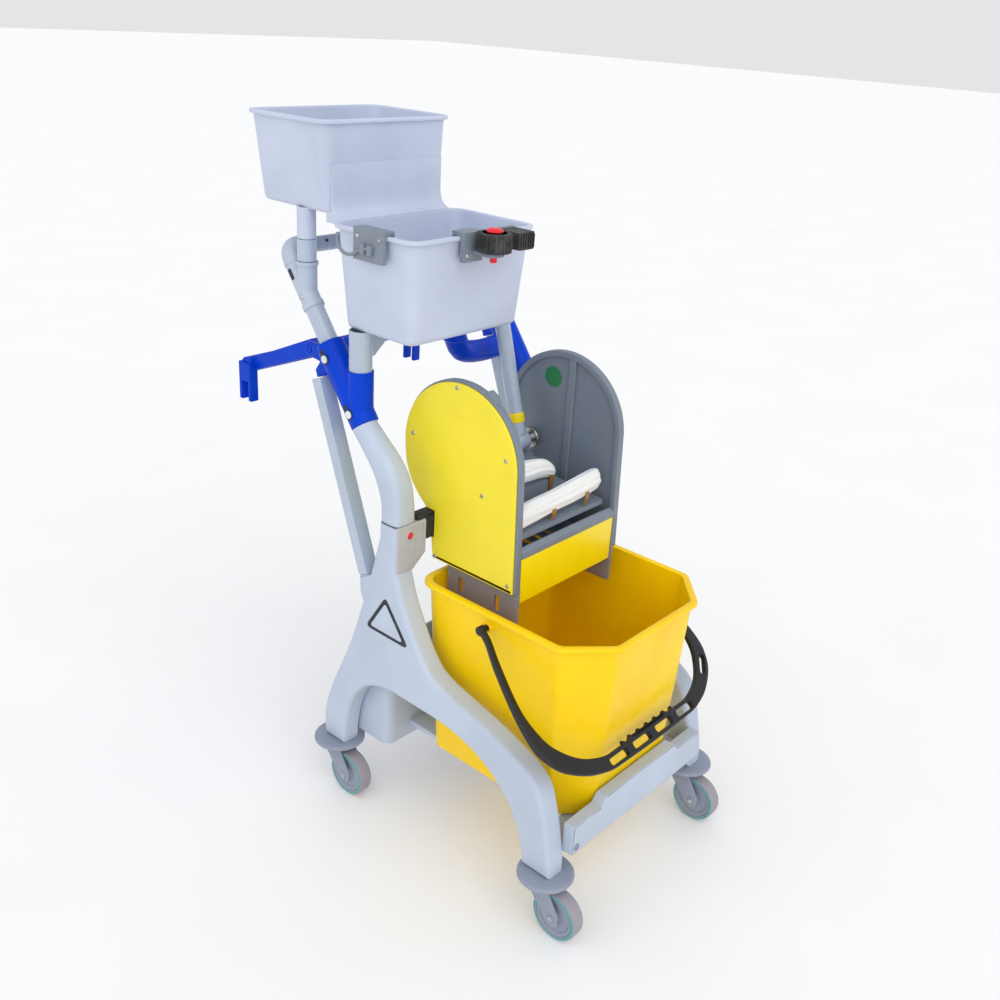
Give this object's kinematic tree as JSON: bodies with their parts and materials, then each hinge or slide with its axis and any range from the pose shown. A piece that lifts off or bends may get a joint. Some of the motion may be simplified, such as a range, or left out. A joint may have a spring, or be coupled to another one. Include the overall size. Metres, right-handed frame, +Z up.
{
  "type": "housekeeping cart",
  "caption": "Wheeled mop cart: arched side frames on swivel casters carry a bucket, a lever wringer, stepped top tubs, a push bar, a folding bag holder and tool clips.",
  "frame": {"origin": "on the floor, under the middle of the footprint's bounding box", "axes": "+Z up; -Y the front, where the bucket is; +Y the rear, where the push bar is; +X the right side seen by the person who pushes"},
  "size_m": [0.469, 0.7826, 1.115],
  "materials": {
    "frame_plastic": "moulded, fine satin grain",
    "tub_plastic": "moulded, satin",
    "blue_plastic": "moulded, semi-gloss",
    "painted_tube": "powder coated, glossy",
    "joint_plastic": "moulded, satin",
    "clip_grey": "moulded, matte",
    "black_rubber": "ribbed, matte",
    "red_plastic": "moulded, glossy",
    "yellow_bucket": "moulded, semi-gloss",
    "black_plastic": "moulded, satin",
    "caster_plastic": "moulded, matte",
    "tyre": "smooth thermoplastic rubber with a teal ring",
    "wringer_grey": "moulded, satin",
    "yellow_panel": "moulded, semi-gloss",
    "steel": "turned, lightly worn",
    "white_cloth": "soft white wrap held by brown tape"
  },
  "bodies": {
    "frame": {"side_frame_left": "frame_plastic", "side_frame_right": "frame_plastic", "arm_left": "frame_plastic", "arm_right": "frame_plastic", "collar_left": "blue_plastic", "collar_right": "blue_plastic", "tub_post_left": "painted_tube", "tub_post_right": "painted_tube", "strut_left": "painted_tube", "strut_right": "painted_tube", "slanted_tube_left": "painted_tube", "slanted_tube_right": "painted_tube", "elbow_left": "joint_plastic", "elbow_right": "joint_plastic", "y_joint_left": "joint_plastic", "vertical_tube_left": "painted_tube", "push_bar": "painted_tube", "tub_stay_right": "joint_plastic", "front_crossbar": "frame_plastic", "rear_box": "frame_plastic", "bucket": "yellow_bucket", "bumper_front_left": "caster_plastic", "bumper_front_right": "caster_plastic", "bumper_rear_left": "caster_plastic", "bumper_rear_right": "caster_plastic"},
    "top_tubs": {"top_tub": "tub_plastic", "hook_clip": "clip_grey", "hook_rod": "clip_grey", "mop_clip_body": "clip_grey", "mop_clip_pin": "red_plastic", "mop_clip_block": "black_rubber"},
    "mop_roller": {"mop_clip_roller": "black_rubber"},
    "bag_holder": {"bag_frame": "blue_plastic"},
    "bail": {"bucket_handle": "black_plastic"},
    "wringer": {"wringer_shell_left": "wringer_grey", "wringer_shell_right": "wringer_grey", "wringer_cover_left": "yellow_panel", "wringer_cover_right": "yellow_panel", "front_panel": "yellow_panel", "back_panel": "wringer_grey", "sieve": "wringer_grey"},
    "press_drive": {"press_shaft": "steel", "lever": "painted_tube"},
    "press": {"press_plate": "wringer_grey", "press_wrap_front": "white_cloth", "press_wrap_back": "white_cloth"},
    "lock_left": {"lock_button_left": "red_plastic"},
    "lock_right": {"lock_button_right": "red_plastic"},
    "swivel_front_left": {"fork_front_left": "caster_plastic"},
    "wheel_front_left": {"hub_front_left": "caster_plastic", "tyre_front_left": "tyre"},
    "swivel_front_right": {"fork_front_right": "caster_plastic"},
    "wheel_front_right": {"hub_front_right": "caster_plastic", "tyre_front_right": "tyre"},
    "swivel_rear_left": {"fork_rear_left": "caster_plastic"},
    "wheel_rear_left": {"hub_rear_left": "caster_plastic", "tyre_rear_left": "tyre"},
    "swivel_rear_right": {"fork_rear_right": "caster_plastic"},
    "wheel_rear_right": {"hub_rear_right": "caster_plastic", "tyre_rear_right": "tyre"}
  },
  "joints": [
    {"name": "top_tubs_lift", "type": "slide", "parent": "frame", "child": "top_tubs", "axis": [0, 0, 1], "range_m": [0, 0.05]},
    {"name": "mop_roller_spin", "type": "hinge", "parent": "top_tubs", "child": "mop_roller", "pos_m": [-0.09, -0.06075, 0.975], "axis": [0, 0, 1], "continuous": true},
    {"name": "bag_frame_fold", "type": "hinge", "parent": "frame", "child": "bag_holder", "pos_m": [0, 0.21125, 0.779], "axis": [1, 0, 0], "range_deg": [0, 60]},
    {"name": "bail_swing", "type": "hinge", "parent": "frame", "child": "bail", "pos_m": [0, -0.15075, 0.434], "axis": [-1, 0, 0], "range_deg": [0, 100]},
    {"name": "wringer_lift", "type": "slide", "parent": "frame", "child": "wringer", "axis": [0, 0, 1], "range_m": [0, 0.04]},
    {"name": "lever_pull", "type": "hinge", "parent": "wringer", "child": "press_drive", "pos_m": [0, 0.00925, 0.621], "axis": [1, 0, 0], "range_deg": [0, 65]},
    {"name": "press_tilt", "type": "hinge", "parent": "wringer", "child": "press", "pos_m": [0, 0.00925, 0.59], "axis": [1, 0, 0], "range_deg": [0, 20]},
    {"name": "lock_left_press", "type": "slide", "parent": "frame", "child": "lock_left", "axis": [0, 1, 0], "range_m": [0, 0.003], "stiffness_N_per_m": 600, "springref_m": -0.003},
    {"name": "lock_right_press", "type": "slide", "parent": "frame", "child": "lock_right", "axis": [0, 1, 0], "range_m": [0, 0.003], "stiffness_N_per_m": 600, "springref_m": -0.003},
    {"name": "swivel_front_left_turn", "type": "hinge", "parent": "frame", "child": "swivel_front_left", "pos_m": [-0.191, -0.32125, 0.1], "axis": [0, 0, 1], "continuous": true},
    {"name": "wheel_front_left_roll", "type": "hinge", "parent": "swivel_front_left", "child": "wheel_front_left", "pos_m": [-0.191, -0.35125, 0.04], "axis": [1, 0, 0], "continuous": true},
    {"name": "swivel_front_right_turn", "type": "hinge", "parent": "frame", "child": "swivel_front_right", "pos_m": [0.191, -0.32125, 0.1], "axis": [0, 0, 1], "continuous": true},
    {"name": "wheel_front_right_roll", "type": "hinge", "parent": "swivel_front_right", "child": "wheel_front_right", "pos_m": [0.191, -0.35125, 0.04], "axis": [1, 0, 0], "continuous": true},
    {"name": "swivel_rear_left_turn", "type": "hinge", "parent": "frame", "child": "swivel_rear_left", "pos_m": [-0.191, 0.14375, 0.1], "axis": [0, 0, 1], "continuous": true},
    {"name": "wheel_rear_left_roll", "type": "hinge", "parent": "swivel_rear_left", "child": "wheel_rear_left", "pos_m": [-0.191, 0.11375, 0.04], "axis": [1, 0, 0], "continuous": true},
    {"name": "swivel_rear_right_turn", "type": "hinge", "parent": "frame", "child": "swivel_rear_right", "pos_m": [0.191, 0.14375, 0.1], "axis": [0, 0, 1], "continuous": true},
    {"name": "wheel_rear_right_roll", "type": "hinge", "parent": "swivel_rear_right", "child": "wheel_rear_right", "pos_m": [0.191, 0.11375, 0.04], "axis": [1, 0, 0], "continuous": true}
  ],
  "couplings": [
    {"joint": "press_tilt", "follows": "lever_pull", "ratio": 0.3}
  ]
}
